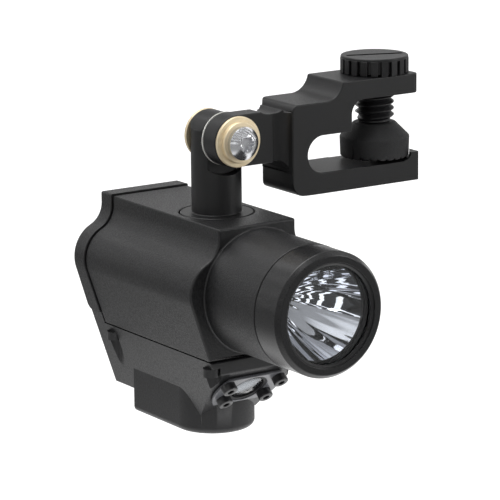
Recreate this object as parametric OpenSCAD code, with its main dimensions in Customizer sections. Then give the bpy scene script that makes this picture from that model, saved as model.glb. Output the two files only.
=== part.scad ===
// Helmet-brim light: a housing with a forward spot lamp and a downward flood
// lamp, hung by a swivel post and a tilting C-clamp. Beam along -Y, +Z up.
// All shapes are drawn about the post axis on the housing's top deck, then moved
// so that the origin is the middle of the clamp's lower jaw face.

/* [Housing] */
// Half width of the flat top deck
deck_half_w = 10.75; // [9:0.25:12]
// Radius of the convex side bulge
bulge_r = 8; // [7.5:0.25:8.5]
// Depth of the widest line below the deck
bulge_depth = 15; // [14.5:0.25:15.5]
// Radius of the concave waist under the deck
waist_r = 6; // [5:0.5:7]
// Taper of the sides below the bulge, degrees
taper = 19; // [17:0.5:20]
// Front face, distance ahead of the post axis
front_y = 17.3; // [16.8:0.1:18]
// Back face of the main housing behind the post axis
back_y = 29.6; // [29.6:0.1:30]
// Thickness of the rear cover
cover_t = 5; // [4.8:0.1:5.2]
// Parting line between main and lower housing, below the deck
seam_depth = 31.3; // [31:0.1:31.6]
// Flat underside of the lower housing, below the deck
belly_depth = 48.2; // [47.8:0.1:48.6]

/* [Spot lamp head] */
// Depth of the lamp axis below the deck
lamp_depth = 16; // [15.8:0.1:16.2]
// Outer radius of the barrel
barrel_r = 14.9; // [14.6:0.1:15.2]
// Outer radius of the bezel
bezel_r = 14.8; // [14.5:0.1:15.1]
// Start of the bezel, ahead of the post axis
bezel_y = 37.8; // [37.6:0.1:38]
// Front rim of the bezel, ahead of the post axis
rim_y = 46.9; // [46.7:0.1:47.2]
// Clear radius of the window
window_r = 11.5; // [11:0.1:11.8]
// Focal length of the reflector's parabola
focus = 1.8; // [1.7:0.05:1.9]

/* [Batteries] */
// Radius of one cell
cell_r = 5.25; // [5:0.05:5.25]
// Length of one cell with its nub
cell_len = 44.5; // [44:0.1:44.6]
// Distance between cell axes
cell_pitch = 10.8; // [10.6:0.05:10.8]

/* [Flood lamp] */
// Top edge of the slanted face, below the deck
slant_depth = 34.9; // [34.6:0.1:35.2]
// Radius of the round window
flood_r = 4.6; // [4.4:0.1:4.8]
// Radius of the retaining plate before its top and bottom are cut flat
plate_r = 9.1; // [8.9:0.1:9.2]
// Half height of the retaining plate
plate_half_h = 5.5; // [5.3:0.1:5.6]

/* [Switch boss] */
// Half width, and radius of the round front end
boss_r = 9.95; // [9.7:0.05:10]
// Centre of the round front end behind the post axis
boss_y = 2.5; // [2:0.1:3]
// Flat rear end behind the post axis
boss_back = 22.8; // [22:0.1:23]
// Underside of the boss, below the deck
boss_depth = 53; // [52.8:0.1:53.4]
// Travel of each button
button_travel = 0.8; // [0.5:0.1:0.8]

/* [Post and tilt joint] */
// Radius of the post
post_r = 6; // [5.8:0.1:6.2]
// Height of the tilt axis above the deck
tilt_z = 18.2; // [18:0.1:18.5]
// Half thickness of the post between its flats
flat_y = 3.57; // [3.4:0.01:3.7]
// Radius of the round relief cut round the tilt axis
relief_r = 8.5; // [8.2:0.1:8.8]
// Radius of the arm's eye
eye_r = 6.25; // [6:0.05:6.4]
// Front face of the eye, ahead of the post axis
eye_y = 9.07; // [8.9:0.01:9.2]
// Radius of the tilt screw's shank
tilt_screw_r = 2; // [1.9:0.05:2]

/* [Clamp] */
// Thickness of the clamp along Y
clamp_t = 15; // [14.8:0.1:15.2]
// Middle plane of the clamp, ahead of the post axis
clamp_y = 4.93; // [4.8:0.01:5]
// Left face of the clamp block
block_x = 13.5; // [13.4:0.1:14]
// Open end of the jaws
jaw_end = 50.5; // [50.2:0.1:50.8]
// Underside of the clamp
clamp_low = 3.6; // [3.5:0.05:4]
// Face of the lower jaw, where the brim rests
jaw_floor = 8.7; // [8.5:0.1:8.8]
// Underside of the upper jaw
jaw_ceiling = 25; // [24.9:0.1:25.1]
// Top of the upper jaw
jaw_top = 29.8; // [29.6:0.1:30]
// Axis of the clamp screw
screw_x = 42.65; // [42.5:0.05:42.8]
// Outer radius of the clamp screw's thread
thread_r = 4.7625; // [4.7:0.0125:4.7625]
// Pitch of the clamp screw's thread
pitch = 1.5875; // [1.5:0.0125:1.6]
// Radius of the knob
knob_r = 8.25; // [8:0.05:8.3]
// Height of the knob
knob_h = 4.2; // [4:0.1:4.4]
// Number of grip ribs round the knob
ribs = 20; // [16:2:24]
// Widest radius of the clamp pad
pad_r = 8.47; // [8.3:0.01:8.5]

/* [Hidden] */
$fn = 64;
gap = 0.05;          // running clearance
far = 100;           // longer than any cut needs
slant_mid = 7.6;     // plate centre down the slanted face
ring = 0.3;          // visible line between two castings
black = "#26272a";
rubber = "#1b1b1c";
brass = "#b8965c";
steel = "#c9ccd0";
board = "#1e5b3a";

slot_x = 22.4;       // the slot's round end begins here
step_x = 34;         // the flat seat ends here, just short of the pad
step = 0.15;         // depth of the step under the pad
seat = [(slot_x + step_x) / 2, -clamp_y, jaw_floor];
bulge_x = 18.8 - bulge_r;
waist_x = deck_half_w + waist_r;
waist_z = -bulge_depth + sqrt(pow(bulge_r + waist_r, 2) - pow(waist_x - bulge_x, 2));
lower_z = -seam_depth - ring;
rear_y = back_y + ring + cover_t;
shelf_z = -28.9;
hinge_y = rear_y - 1.45;
hinge_z = -27.2;
cover_screw_z = -3.8;
puck_y = -19.6;
led_y = puck_y - 3.9;
cavity_w = 9.2;
case_screw_x = 12.1;
case_screw_y = [-15.3, 27.8];
pocket_top = -33.3;
button_y = [boss_y, boss_y + 12];
button_r = 4.5;
switch_z = -48.75;   // lowest point of the switches on their board
pad_low = 9.4;
pad_shoulder = 14.6;
pad_top = 17.7;
ball_r = 3.2;
ball_z = 14;
arm_back = -flat_y - 0.33;
boss_step = 1.95;    // height of the stepped washer over the arm's eye

// ---- shared helpers ----
module from_seat() {
    translate(-seat) children();
}

// extrudes an outline drawn in X and Z from y0 to y1
module along_y(y0, y1) {
    translate([0, y1, 0]) rotate([90, 0, 0]) linear_extrude(y1 - y0) children();
}

// round bar along Y about a point of the XZ plane
module rod_y(r, y0, y1, x = 0, z = 0) {
    translate([x, y1, z]) rotate([90, 0, 0]) cylinder(r = r, h = y1 - y0);
}

// solid of revolution about the lamp axis: profile x is the radius, y runs forward
module about_lamp() {
    translate([0, 0, -lamp_depth]) rotate([90, 0, 0]) rotate_extrude() children();
}

// outside of a round corner at the origin, filling the quadrant towards (sx, sy)
module corner_cut(r, sx, sy) {
    scale_x = sx * r;
    difference() {
        translate([sx > 0 ? -r : -1, sy > 0 ? -r : -1]) square(r + 1);
        translate([-scale_x, -sy * r]) circle(r);
    }
}

// cross-section of the housing down to a depth, grown outwards by d
module body_outline(low, d = 0) {
    r = bulge_r + d;
    tangent = [bulge_x + r * cos(taper), -bulge_depth - r * sin(taper)];
    waist = [bulge_x, -bulge_depth] + [waist_x - bulge_x, waist_z + bulge_depth] * r / (bulge_r + waist_r);
    low_x = tangent[0] - (low + tangent[1]) * tan(taper);
    side = [[deck_half_w + d, d], [deck_half_w + d, waist_z], waist, tangent, [low_x, -low]];
    difference() {
        union() {
            polygon(concat(side, [for (i = [len(side) - 1:-1:0]) [-side[i][0], side[i][1]]]));
            for (x = [-1, 1]) translate([x * bulge_x, -bulge_depth]) circle(r);
        }
        for (x = [-1, 1]) translate([x * waist_x, waist_z]) circle(waist_r - d);
    }
}

// three cells side by side, with walls of radius r
module bay_outline(r) {
    for (i = [-1:1]) translate([i * cell_pitch, -bulge_depth]) circle(r);
    translate([-cell_pitch, -bulge_depth - r * 0.78]) square([2 * cell_pitch, r * 1.56]);
}

// long round-ended ring outline round the battery bay
module oblong(r) {
    for (i = [-1, 1]) translate([i * cell_pitch, -bulge_depth]) circle(r);
    translate([-cell_pitch, -bulge_depth - r]) square([2 * cell_pitch, 2 * r]);
}

// origin at the flood lamp's centre, +Z out of the slanted face, +Y up the slope
module on_slant() {
    translate([0, -front_y, -slant_depth]) rotate([135, 0, 0]) translate([0, -slant_mid, 0]) children();
}

// half space in front of the slanted face, moved inwards by t
module ahead_of_slant(t = 0) {
    on_slant() translate([-far / 2, -far / 2, -t]) cube([far, far, far / 2]);
}

// stadium with a flat rear end, seen from above
module boss_plan(r, rear) {
    translate([0, boss_y]) circle(r);
    translate([-r, boss_y]) square([2 * r, rear - boss_y]);
}

// a wire through a list of points, round at the corners
module wire(points, r = 0.5) {
    for (i = [0:len(points) - 2]) {
        v = points[i + 1] - points[i];
        length = norm(v);
        translate(points[i]) rotate([0, acos(v[2] / length), atan2(v[1], v[0])])
            cylinder(r = r, h = length, $fn = 24);
    }
    for (i = [1:len(points) - 2]) translate(points[i]) sphere(r, $fn = 24);
}

// conical coil spring along +Z, swept round one wire
module coil(r0, r1, h, turns, wire_r) {
    steps = turns * 16;
    sides = 8;
    rings = [for (i = [0:steps]) let (t = i / steps, a = 360 * turns * t, r = r0 + (r1 - r0) * t)
        for (j = [0:sides - 1]) let (b = 360 * j / sides, q = r + wire_r * cos(b))
            [q * cos(a), q * sin(a), wire_r + (h - 2 * wire_r) * t + wire_r * sin(b)]];
    sides_faces = [for (i = [0:steps - 1], j = [0:sides - 1]) let (k = (j + 1) % sides)
        for (f = [[i * sides + j, i * sides + k, (i + 1) * sides + k],
            [i * sides + j, (i + 1) * sides + k, (i + 1) * sides + j]]) f];
    ends = [[for (j = [sides - 1:-1:0]) j], [for (j = [0:sides - 1]) steps * sides + j]];
    polyhedron(rings, concat(sides_faces, ends));
}

// ---- clamp ----
module jaw_outline() {
    slot_r = (17.64 - jaw_floor) / 2;
    wall_x = 30.76;
    throat_r = 3.3;
    lip_z = 10.6;
    lip_t = 2.3;
    lip_r = lip_z - jaw_floor;
    fillet_x = 23.2;
    fillet_r = 5;
    block_top = jaw_top - 4.13;
    difference() {
        union() {
            translate([block_x, clamp_low]) square([wall_x + throat_r - block_x, block_top - clamp_low]);
            translate([fillet_x, jaw_ceiling - throat_r])
                square([jaw_end - fillet_x, jaw_top - jaw_ceiling + throat_r]);
            translate([block_x, clamp_low]) square([jaw_end - block_x, lip_z - clamp_low]);
        }
        translate([slot_x, jaw_floor + slot_r]) circle(slot_r);
        translate([slot_x, jaw_floor]) square([jaw_end - slot_x - lip_t - lip_r, 2 * slot_r]);
        translate([jaw_end - lip_t - lip_r, jaw_floor + lip_r]) circle(lip_r);
        translate([slot_x, lip_z]) square([far, jaw_floor + 2 * slot_r - lip_z]);
        translate([wall_x, lip_z]) square([far, jaw_ceiling - throat_r - lip_z]);
        translate([wall_x + throat_r, jaw_ceiling - throat_r]) circle(throat_r);
        translate([wall_x + throat_r, lip_z]) square([far, jaw_ceiling - lip_z]);
        translate([fillet_x, block_top + fillet_r]) circle(fillet_r);
        translate([block_x - 1, block_top]) square([fillet_x - block_x + 1, far]);
        translate([block_x, block_top]) corner_cut(1.6, -1, 1);
        translate([block_x, clamp_low]) corner_cut(3.4, -1, -1);
    }
}

module neck_outline() {
    top_r = 5.5;
    low_r = 2.4;
    low_z = tilt_z - eye_r + 0.35;
    difference() {
        union() {
            translate([0, tilt_z]) circle(eye_r);
            translate([0, tilt_z - eye_r]) square([block_x + 1, 2 * eye_r]);
            translate([block_x - 3.2, 9.4]) square([4.2, 16]);
        }
        translate([9.6, tilt_z + top_r + top_r]) circle(top_r);
        translate([block_x - low_r - 0.2, low_z - low_r]) circle(low_r);
        translate([0, 0]) square([block_x - low_r - 0.2, low_z - 0.3]);
        translate([0, 0]) square([block_x - 0.2, low_z - low_r]);
        translate([block_x, jaw_top - 4.13]) corner_cut(1.6, -1, 1);
    }
}

module clamp_bracket() {
    front = -clamp_y - clamp_t / 2;
    back = -clamp_y + clamp_t / 2;
    hollow = -eye_y - front;
    back_r = back - arm_back - hollow;
    end_r = 1.5;
    spread_x = 8.7;
    lip_reach = 4.2;
    color(black) from_seat() difference() {
        union() {
            difference() {
                along_y(front, back) jaw_outline();
                translate([block_x, back, 0]) linear_extrude(far) corner_cut(back_r, -1, 1);
            }
            along_y(-eye_y, arm_back) neck_outline();
            // the arm's front widens to the block in a hollow curve
            difference() {
                along_y(front, arm_back - 0.4) intersection() {
                    neck_outline();
                    translate([block_x - hollow, 0]) square([hollow + 0.4, far]);
                }
                translate([block_x - hollow, front - gap, 0]) cylinder(r = hollow, h = far);
            }
            // its back spreads straight to the block's rear corner
            intersection() {
                along_y(arm_back - 0.5, back) neck_outline();
                linear_extrude(far) polygon([[spread_x, arm_back - 0.5], [spread_x, arm_back],
                    [block_x + 1.4, back - 0.67], [block_x + 1.4, arm_back - 0.5]]);
            }
        }
        rod_y(tilt_screw_r + gap, -far, far, 0, tilt_z);
        translate([screw_x, -clamp_y, jaw_ceiling - 1]) cylinder(r = thread_r + 0.04, h = far);
        // shallow step under the pad, which leaves the seat a plain rectangle
        translate([step_x, -far / 2, jaw_floor - step])
            cube([jaw_end - lip_reach - step_x, far, step + 0.01]);
        // the end lip is hollowed to let the pad come down inside it
        translate([screw_x, -clamp_y, pad_low - 0.25]) cylinder(r = pad_r + 0.15, h = 3);
        // rounded end corners of the upper jaw
        translate([jaw_end, front, jaw_ceiling - 1]) linear_extrude(far) corner_cut(end_r, 1, -1);
        translate([jaw_end, back, jaw_ceiling - 1]) linear_extrude(far) corner_cut(end_r, 1, 1);
    }
}

module clamp_screw() {
    root_r = thread_r - 0.61 * pitch;
    turns = 7;
    start = jaw_top - turns * pitch;
    color("#2d2e30") from_seat() translate([screw_x, -clamp_y, 0]) {
        rotate_extrude() polygon(concat(
            [[0, ball_z], [2.1, ball_z], [2.1, pad_top - 0.3], [root_r, pad_top + 0.3], [root_r, start]],
            [for (i = [0:turns - 1]) each [[thread_r, start + (i + 0.45) * pitch],
                [thread_r, start + (i + 0.55) * pitch], [root_r, start + (i + 1) * pitch]]],
            [[3.6, jaw_top + 0.1], [3.6, jaw_top + knob_h - 1.4], [0, jaw_top + knob_h - 1.4]]));
        translate([0, 0, ball_z]) sphere(ball_r);
    }
}

module clamp_knob() {
    bottom = jaw_top + 0.1;
    rib_w = 0.66 * 2 * PI * knob_r / ribs;
    color(black) from_seat() translate([screw_x, -clamp_y, bottom]) difference() {
        union() {
            rotate_extrude() polygon([[0, 0.3], [knob_r - 0.8, 0.3], [knob_r - 0.8, knob_h - 0.9],
                [knob_r - 0.08, knob_h - 0.75], [knob_r - 0.08, knob_h - 0.3], [knob_r - 0.35, knob_h],
                [0, knob_h]]);
            for (i = [0:ribs - 1]) rotate([0, 0, i * 360 / ribs])
                translate([knob_r - 1.2, -rib_w / 2, 0]) cube([1.2, rib_w, knob_h - 0.6]);
        }
        translate([0, 0, -1]) cylinder(r = 3.6, h = knob_h - 0.5);
        rotate([0, 0, -21]) translate([-7, -0.75, knob_h - 1.1]) cube([14, 1.5, 2]);
    }
}

module clamp_pad() {
    color(rubber) from_seat() translate([screw_x, -clamp_y, 0]) difference() {
        rotate_extrude() polygon([[0, pad_low], [pad_r - 0.45, pad_low], [pad_r - 0.15, pad_low + 0.3],
            [pad_r, pad_shoulder - 0.3], [pad_r - 0.3, pad_shoulder], [5.1, pad_top], [0, pad_top]]);
        translate([0, 0, ball_z]) sphere(ball_r + gap);
        translate([0, 0, ball_z]) cylinder(r1 = 2.2, r2 = 3.2, h = pad_top - ball_z + 0.1);
        // grip grooves across the underside
        for (i = [0:11]) rotate([0, 0, i * 15])
            translate([-far / 2, -0.3, pad_low - 1]) cube([far, 0.6, 1.4]);
    }
}

// ---- tilt joint ----
module tilt_screw() {
    head_r = 3.95;
    head_h = 2.85;
    head_y = -eye_y - boss_step;
    drive_y = head_y - 1.3;
    color(steel) from_seat() difference() {
        union() {
            rod_y(tilt_screw_r, head_y - 0.1, 7.4, 0, tilt_z);
            // domed head
            intersection() {
                rod_y(head_r, head_y - head_h, head_y, 0, tilt_z);
                translate([0, head_y + 2.19, tilt_z]) sphere(5.14);
            }
        }
        // six-lobed drive
        for (i = [0:2]) translate([0, drive_y, tilt_z]) rotate([0, i * 60, 0])
            translate([-1.85, -2, -0.5]) cube([3.7, 2, 1]);
        rod_y(1.35, head_y - head_h - 1, drive_y, 0, tilt_z);
    }
}

module tilt_front_washer() {
    color(brass) from_seat() difference() {
        union() {
            rod_y(6.05, -eye_y - 0.85, -eye_y - 0.02, 0, tilt_z);
            rod_y(4.9, -eye_y - boss_step, -eye_y - 0.7, 0, tilt_z);
        }
        rod_y(tilt_screw_r, -far, far, 0, tilt_z);
    }
}

module tilt_friction_washer() {
    color("white") from_seat() difference() {
        rod_y(6.35, arm_back, -flat_y - 0.03, 0, tilt_z);
        rod_y(tilt_screw_r, -far, far, 0, tilt_z);
    }
}

module tilt_rear_washer() {
    color(brass) from_seat() difference() {
        rod_y(6.05, flat_y + 0.03, flat_y + 0.95, 0, tilt_z);
        rod_y(tilt_screw_r, -far, far, 0, tilt_z);
    }
}

module tilt_nut() {
    nut_back = 7.6;
    color(steel) from_seat() difference() {
        translate([0, nut_back, tilt_z]) rotate([90, 0, 0]) rotate([0, 0, 30])
            cylinder(r = 3.9, h = nut_back - flat_y - 0.97, $fn = 6);
        rod_y(tilt_screw_r, -far, far, 0, tilt_z);
    }
}

// ---- swivel post ----
module post() {
    disc_r = 8.75;
    color(black) from_seat() difference() {
        union() {
            intersection() {
                translate([0, 0, -1.6]) cylinder(r = post_r, h = 40);
                union() {
                    rod_y(post_r, -far, far, 0, tilt_z);
                    translate([-far / 2, -far / 2, -1.6]) cube([far, far, tilt_z + 1.6]);
                }
            }
            translate([0, 0, -1.6]) cylinder(r = disc_r, h = 1.6);
            translate([0, 0, -9]) cylinder(r = 4, h = 8);
        }
        rod_y(tilt_screw_r + gap, -far, far, 0, tilt_z);
        rod_y(relief_r, -far, -flat_y, 0, tilt_z);
        rod_y(relief_r, flat_y, far, 0, tilt_z);
        translate([0, 0, -7.4]) difference() {
            cylinder(r = 5, h = 0.8);
            translate([0, 0, -1]) cylinder(r = 3.2, h = 3);
        }
    }
}

module swivel_washer() {
    color(steel) from_seat() translate([0, 0, -6.5]) difference() {
        cylinder(r = 6.8, h = 1.2);
        translate([0, 0, -1]) cylinder(r = 4.1, h = 3);
    }
}

module swivel_clip() {
    color(steel) from_seat() translate([0, 0, -7.35]) difference() {
        cylinder(r = 6.2, h = 0.7);
        translate([0, 0, -1]) cylinder(r = 3.25, h = 3);
        translate([-2.6, 0, -1]) cube([5.2, 9, 3]);
        for (a = [200, 340]) rotate([0, 0, a]) translate([4.7, 0, -1]) cylinder(r = 0.8, h = 3);
    }
}

// ---- housings ----
module main_housing() {
    color(black) from_seat() difference() {
        union() {
            along_y(-front_y, back_y) body_outline(seam_depth);
            rod_y(barrel_r, -bezel_y + 0.15, -front_y + 0.5, 0, -lamp_depth);
            rod_y(13.9, -43, -bezel_y + 1, 0, -lamp_depth);
        }
        rod_y(12.7, -far, puck_y + 0.05, 0, -lamp_depth);
        // o-ring groove in the neck
        difference() {
            rod_y(15, -40.4, -39, 0, -lamp_depth);
            rod_y(13.3, -41, -38, 0, -lamp_depth);
        }
        along_y(-15.6, far) bay_outline(cell_r + 0.2);
        // wiring space under the cells, and its way to the lamp
        translate([-10, -15.6, -far]) cube([20, 41.6, far - 22.6]);
        rod_y(2.2, -far / 2, -15, 0, -24.8);
        for (x = [-8, 8]) translate([x - 1.6, -15.6, -24]) cube([3.2, 0.5, 8]);
        // swivel socket, its bore and the clip's pocket
        translate([0, 0, -1.65]) cylinder(r = 9.1, h = 5);
        translate([0, 0, -12]) cylinder(r = 4 + gap, h = 14);
        translate([0, 0, -12]) cylinder(r = 7.6, h = 6.8);
        rod_y(2.4, back_y - 5, far, 0, cover_screw_z);
        for (x = [-1, 1], y = case_screw_y)
            translate([x * case_screw_x, y, -40]) cylinder(r = 0.85, h = 14.5);
    }
}

module boss_solid() {
    r = 1.5;
    h = boss_depth - 40;
    translate([0, boss_y, -boss_depth]) rotate_extrude() {
        translate([0, r]) square([boss_r, h - r]);
        square([boss_r - r, h]);
        translate([boss_r - r, r]) circle(r);
    }
    along_y(boss_y, boss_back) {
        translate([-boss_r, r - boss_depth]) square([2 * boss_r, h - r]);
        translate([-boss_r + r, -boss_depth]) square([2 * (boss_r - r), h]);
        for (x = [-1, 1]) translate([x * (boss_r - r), r - boss_depth]) circle(r);
    }
}

// cross-section of the lower housing below a height
module lower_outline(top) {
    intersection() {
        body_outline(belly_depth);
        translate([-far / 2, top - far]) square([far, far]);
    }
}

module lower_housing() {
    color("#2c2d30") from_seat() difference() {
        union() {
            difference() {
                along_y(-front_y, back_y + 0.4) lower_outline(lower_z);
                ahead_of_slant();
            }
            // the rear end rises to a shelf under the rear cover
            along_y(back_y + 0.4, rear_y) lower_outline(shelf_z);
            intersection() {
                boss_solid();
                translate([-far / 2, -far / 2, -far]) cube([far, far, far - 42]);
            }
            // hinge ears
            for (x = [-8, 5]) translate([x, 0, 0]) {
                translate([0, hinge_y, hinge_z]) rotate([0, 90, 0]) cylinder(r = 1.3, h = 3);
                translate([0, hinge_y - 1.3, shelf_z - 1]) cube([3, 2.6, hinge_z - shelf_z + 1]);
            }
        }
        // room for the boards
        difference() {
            along_y(-front_y + 2.5, rear_y - 2.5) polygon([[-cavity_w, lower_z + 1], [cavity_w, lower_z + 1],
                [cavity_w, -38], [6.2, -46.4], [-6.2, -46.4], [-cavity_w, -38]]);
            ahead_of_slant(5.6);
            translate([-far / 2, back_y, lower_z - 0.9]) cube([far, far, far]);
        }
        translate([0, 0, -51.2]) linear_extrude(5) boss_plan(7, 19.8);
        translate([0, 0, -46.65]) linear_extrude(1.6) boss_plan(7.6, 20.4);
        for (y = button_y) translate([0, y, -far / 2 - 20]) cylinder(r = button_r + gap, h = 25);
        for (x = [-1, 1], y = case_screw_y) translate([x * case_screw_x, y, 0]) {
            translate([0, 0, pocket_top - far]) cylinder(r = 2.3, h = far);
            translate([0, 0, -40]) cylinder(r = 0.95, h = 20);
        }
        on_slant() {
            translate([0, 0, -4.4]) cylinder(r = 5.4, h = 10);
            translate([0, 0, -8]) cylinder(r = 2, h = 10);
            flood_screw_places() translate([0, 0, -4.2]) cylinder(r = 0.95, h = 10);
        }
        translate([-10, hinge_y, hinge_z]) rotate([0, 90, 0]) cylinder(r = 0.8, h = 20);
    }
}

module housing_gasket() {
    color(rubber) from_seat() difference() {
        translate([-12.6, -16.4, lower_z]) cube([25.2, 45.2, ring]);
        translate([-10, -14.8, -far / 2]) cube([20, 41, far]);
        for (x = [-1, 1], y = case_screw_y) translate([x * case_screw_x, y, -40]) cylinder(r = 0.9, h = 20);
    }
}

module case_screws() {
    color(steel) from_seat() for (x = [-1, 1], y = case_screw_y) translate([x * case_screw_x, y, 0])
        difference() {
        union() {
            translate([0, 0, pocket_top - 2]) cylinder(r = 1.9, h = 2);
            translate([0, 0, pocket_top - 0.1]) cylinder(r = 0.85, h = 7.8);
        }
        translate([0, 0, pocket_top - 3]) cylinder(r = 0.9, h = 2.1, $fn = 6);
    }
}

// ---- rear cover ----
module rear_cover() {
    inner = back_y + ring;
    color(black) from_seat() difference() {
        union() {
            along_y(inner, rear_y) body_outline(28.6, 0.4);
            // core that ties the two bulges together
            along_y(inner + 1.8, rear_y - 0.5) translate([-17, -bulge_depth - 3]) square([34, 6]);
        }
        along_y(back_y, inner + 1.6) bay_outline(cell_r + 0.55);
        along_y(back_y, inner + 0.8) difference() {
            oblong(7.35);
            oblong(6.55);
        }
        // round heel about the hinge
        translate([-far / 2, 0, 0]) difference() {
            translate([0, hinge_y, -40]) cube([far, 10, 40 + hinge_z]);
            translate([-1, hinge_y, hinge_z]) rotate([0, 90, 0]) cylinder(r = 1.43, h = far + 2);
        }
        translate([-10, hinge_y, hinge_z]) rotate([0, 90, 0]) cylinder(r = 0.8 + gap, h = 20);
        for (x = [-8, 5]) translate([x - 0.15, hinge_y - 1.55, -40]) cube([3.3, 10, 40 + hinge_z + 1.6]);
        rod_y(1.5 + gap, 0, far, 0, cover_screw_z);
        rod_y(2.75, rear_y - 2.2, far, 0, cover_screw_z);
    }
}

module cover_gasket() {
    color(rubber) from_seat() along_y(back_y + 0.02, back_y + ring + 0.78) difference() {
        oblong(7.3);
        oblong(6.6);
    }
}

module cover_pin() {
    color(steel) from_seat() translate([-9.6, hinge_y, hinge_z])
        rotate([0, 90, 0]) cylinder(r = 0.8, h = 19.2);
}

module cover_screw() {
    color(steel) from_seat() difference() {
        union() {
            rod_y(2.6, rear_y - 2.15, rear_y - 0.2, 0, cover_screw_z);
            rod_y(1.5, back_y - 0.9, rear_y - 2, 0, cover_screw_z);
        }
        translate([-4, rear_y - 1.3, cover_screw_z - 0.4]) cube([8, 4, 0.8]);
    }
}

module cover_insert() {
    color(brass) from_seat() difference() {
        rod_y(2.4, back_y - 5, back_y - 0.05, 0, cover_screw_z);
        rod_y(1.85, -far, far, 0, cover_screw_z);
    }
}

// ---- batteries and contacts ----
module cell(x, nub_forward, front) {
    color("#5a6168") from_seat() translate([x, front, -bulge_depth]) rotate([-90, 0, 0]) {
        body = cell_len - 0.8;
        translate([0, 0, nub_forward ? 0.8 : 0]) cylinder(r = cell_r, h = body);
        translate([0, 0, nub_forward ? 0 : body]) cylinder(r = 1.9, h = 0.8);
    }
}

module cell_left() {
    cell(-cell_pitch, true, -15.15);
}

module cell_middle() {
    cell(0, false, -13.45);
}

module cell_right() {
    cell(cell_pitch, true, -15.15);
}

module front_contacts() {
    color(steel) from_seat() {
        for (x = [-1, 1]) translate([x * 8 - 1.5, -15.6, -23.8]) cube([3, 0.4, 6]);
        along_y(-15.6, -15.2) for (x = [-1, 1]) translate([x * cell_pitch, -bulge_depth]) circle(4.8);
        rod_y(4.6, -15.6, -15.2, 0, -bulge_depth);
    }
}

module front_spring() {
    color(steel) from_seat() translate([0, -15.2, -bulge_depth])
        rotate([-90, 0, 0]) coil(3.4, 1.8, 1.7, 2.5, 0.25);
}

module rear_contacts() {
    floor_y = back_y + ring + 1.6;
    color(steel) from_seat() along_y(floor_y - 0.4, floor_y) difference() {
        for (x = [-1:1]) translate([x * cell_pitch, -bulge_depth]) circle(4.6);
        translate([-cell_pitch / 2 - 0.3, -20]) square([0.6, 10]);
    }
}

module rear_springs() {
    floor_y = back_y + ring + 1.2;
    color(steel) from_seat() for (x = [-1, 1])
        translate([x * cell_pitch, floor_y, -bulge_depth]) rotate([90, 0, 0])
        coil(3.4, 1.8, floor_y - 29.4, 2.5, 0.25);
}

// ---- spot lamp ----
module bezel() {
    lip = rim_y - 0.9;
    color(black) from_seat() about_lamp() difference() {
        polygon([[0, bezel_y], [bezel_r, bezel_y], [bezel_r, rim_y - 1], [bezel_r - 0.3, rim_y - 0.3],
            [bezel_r - 1, rim_y], [0, rim_y]]);
        translate([0, 0]) square([13.92, 43.4]);
        square([12.7, lip]);
        polygon([[0, 0], [window_r, 0], [window_r, lip + 0.2], [window_r + 0.55, rim_y - 0.35],
            [window_r + 0.8, rim_y - 0.35], [window_r + 0.8, far], [0, far]]);
    }
}

module bezel_oring() {
    color(rubber) from_seat() about_lamp() translate([13.61, 39.7]) circle(0.3);
}

module lens_seal() {
    color(rubber) from_seat() about_lamp() translate([11.9, rim_y - 1.3]) square([0.75, 0.4]);
}

module lens() {
    color([0.85, 0.9, 0.95, 0.35]) from_seat() about_lamp() square_between(rim_y - 2.9, rim_y - 1.3, 12.65);
}

module square_between(y0, y1, r) {
    translate([0, y0]) square([r, y1 - y0]);
}

module reflector() {
    base = -led_y + 1.2;
    depth_min = 1.3;
    depth_max = 17.6;
    steps = 24;
    inner = [for (i = [0:steps]) let (d = depth_min + (depth_max - depth_min) * pow(i / steps, 2))
        [2 * sqrt(focus * d), base + d]];
    outer = [for (i = [steps:-1:0]) inner[i] + [0.9, i == 0 ? 0 : -0.5]];
    mouth = base + depth_max;
    color("silver") from_seat() about_lamp() {
        polygon(concat(inner, [[12.6, mouth], [12.6, mouth - 0.7], outer[0] + [0, -0.3]], outer));
    }
}

module heat_sink() {
    color("#b9bcc0") from_seat() difference() {
        rod_y(12.65, led_y, puck_y, 0, -lamp_depth);
        for (x = [-1, 1]) rod_y(0.75, -far, far, x, -24.8);
        for (x = [-1, 1]) rod_y(1, -far, far, x * 8, -lamp_depth);
    }
}

module led_board() {
    color("#e8e8e4") from_seat() rod_y(9.8, led_y - 1.2, led_y, 0, -lamp_depth);
}

module led_emitter() {
    top = led_y - 1.2;
    color("#f2d24a") from_seat() {
        translate([-1.75, top - 0.8, -lamp_depth - 1.75]) cube([3.5, 0.8, 3.5]);
        intersection() {
            translate([0, top - 0.7, -lamp_depth]) sphere(1.3);
            translate([-2, top - 3, -lamp_depth - 2]) cube([4, 2.5, 4]);
        }
    }
}

// ---- electronics ----
module driver_board() {
    color(board) from_seat() translate([-8.7, -5.6, -38]) cube([17.4, 33, 1]);
}

module driver_parts() {
    color("#303236") from_seat() translate([0, 0, -37]) {
        translate([-6, 2, 0]) cube([5, 5, 1.5]);
        translate([1, 3, 0]) cube([4, 4, 2]);
        translate([-5, 12, 0]) cube([6, 6, 2.6]);
        translate([4.5, 13, 0]) cylinder(r = 2.2, h = 4.2);
        for (y = [10, 20, 23]) translate([2, y, 0]) cube([3.2, 1.6, 0.8]);
    }
}

module led_leads() {
    color("firebrick") from_seat() for (x = [-1, 1])
        wire([[x, -3, -36.95], [x, -3, -24.8], [x, led_y + 0.05, -24.8]]);
}

module battery_leads() {
    color("#222222") from_seat() for (x = [-8, 8])
        wire([[x, -14.5, -23.9], [x, -14.5, -30], [x, -3.4, -30], [x, -3.4, -36.95]]);
}

module flood_leads() {
    color("firebrick") from_seat() for (x = [-1, 1])
        wire([[x, -8.8, -37.1], [x, -6.6, -34.9], [x, -4.4, -34.9], [x, -4.4, -36.95]], 0.4);
}

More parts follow.
